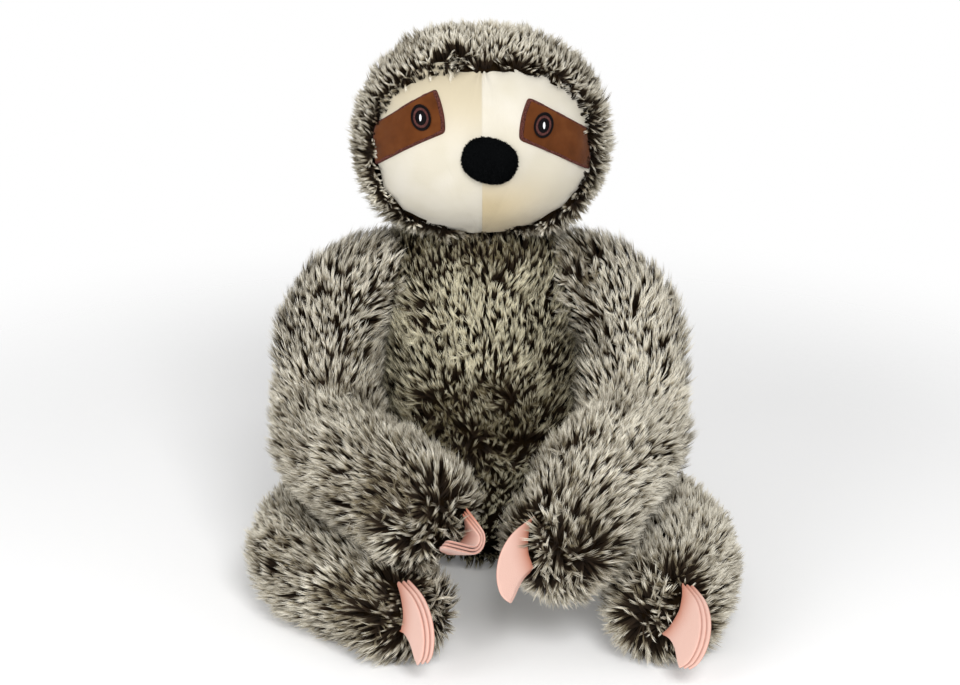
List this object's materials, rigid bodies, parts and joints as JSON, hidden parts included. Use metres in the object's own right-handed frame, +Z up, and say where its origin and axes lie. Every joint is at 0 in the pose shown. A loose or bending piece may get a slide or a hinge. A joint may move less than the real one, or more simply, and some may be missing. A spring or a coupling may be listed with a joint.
{
  "type": "plush sloth",
  "caption": "Sitting long-pile plush sloth: stuffed torso, head with velour face and embroidered eyes, long arms folded over splayed legs, felt claws.",
  "frame": {"origin": "centre of the flat under the torso, where the toy sits", "axes": "+Z up, the toy faces -Y, +X is its right-hand side as seen from the front"},
  "size_m": [0.3333, 0.3387, 0.384],
  "materials": {
    "pile_fabric": "long pile, dark roots and pale tips",
    "stuffing": "polyester fibre",
    "velour_cream": "short velour",
    "short_pile_brown": "short pile applique",
    "embroidery_dark": "satin stitch",
    "short_pile_black": "short pile",
    "felt_pink": "felt"
  },
  "bodies": {
    "torso": {"torso_skin": "pile_fabric", "torso_filling": "stuffing"},
    "head": {"head_skin": "pile_fabric", "head_filling": "stuffing", "nose": "short_pile_black", "face_panel_left": "velour_cream", "face_panel_right": "velour_cream", "eye_patch_left": "short_pile_brown", "eye_patch_right": "short_pile_brown", "eye_left": "embroidery_dark", "eye_right": "embroidery_dark"},
    "arm_left": {"arm_left_skin": "pile_fabric", "arm_left_filling": "stuffing", "claw_arm_left_1": "felt_pink", "claw_arm_left_2": "felt_pink", "claw_arm_left_3": "felt_pink"},
    "arm_right": {"arm_right_skin": "pile_fabric", "arm_right_filling": "stuffing", "claw_arm_right_1": "felt_pink", "claw_arm_right_2": "felt_pink", "claw_arm_right_3": "felt_pink"},
    "leg_left": {"leg_left_skin": "pile_fabric", "leg_left_filling": "stuffing", "claw_leg_left_1": "felt_pink", "claw_leg_left_2": "felt_pink", "claw_leg_left_3": "felt_pink"},
    "leg_right": {"leg_right_skin": "pile_fabric", "leg_right_filling": "stuffing", "claw_leg_right_1": "felt_pink", "claw_leg_right_2": "felt_pink", "claw_leg_right_3": "felt_pink"}
  },
  "joints": [
    {"name": "neck_turn", "type": "hinge", "parent": "torso", "child": "head", "pos_m": [0, 0, 0.246], "axis": [0, 0, 1], "range_deg": [-40, 40]},
    {"name": "shoulder_left_swing", "type": "hinge", "parent": "torso", "child": "arm_left", "pos_m": [-0.0603, -0.006, 0.2], "axis": [-1, 0, 0], "range_deg": [0, 60]},
    {"name": "shoulder_right_swing", "type": "hinge", "parent": "torso", "child": "arm_right", "pos_m": [0.0603, -0.006, 0.2], "axis": [-1, 0, 0], "range_deg": [0, 60]},
    {"name": "hip_left_drop", "type": "hinge", "parent": "torso", "child": "leg_left", "pos_m": [-0.0673, -0.01, 0.034], "axis": [1, 0, 0], "range_deg": [0, 60]},
    {"name": "hip_right_drop", "type": "hinge", "parent": "torso", "child": "leg_right", "pos_m": [0.0673, -0.01, 0.034], "axis": [1, 0, 0], "range_deg": [0, 60]}
  ]
}
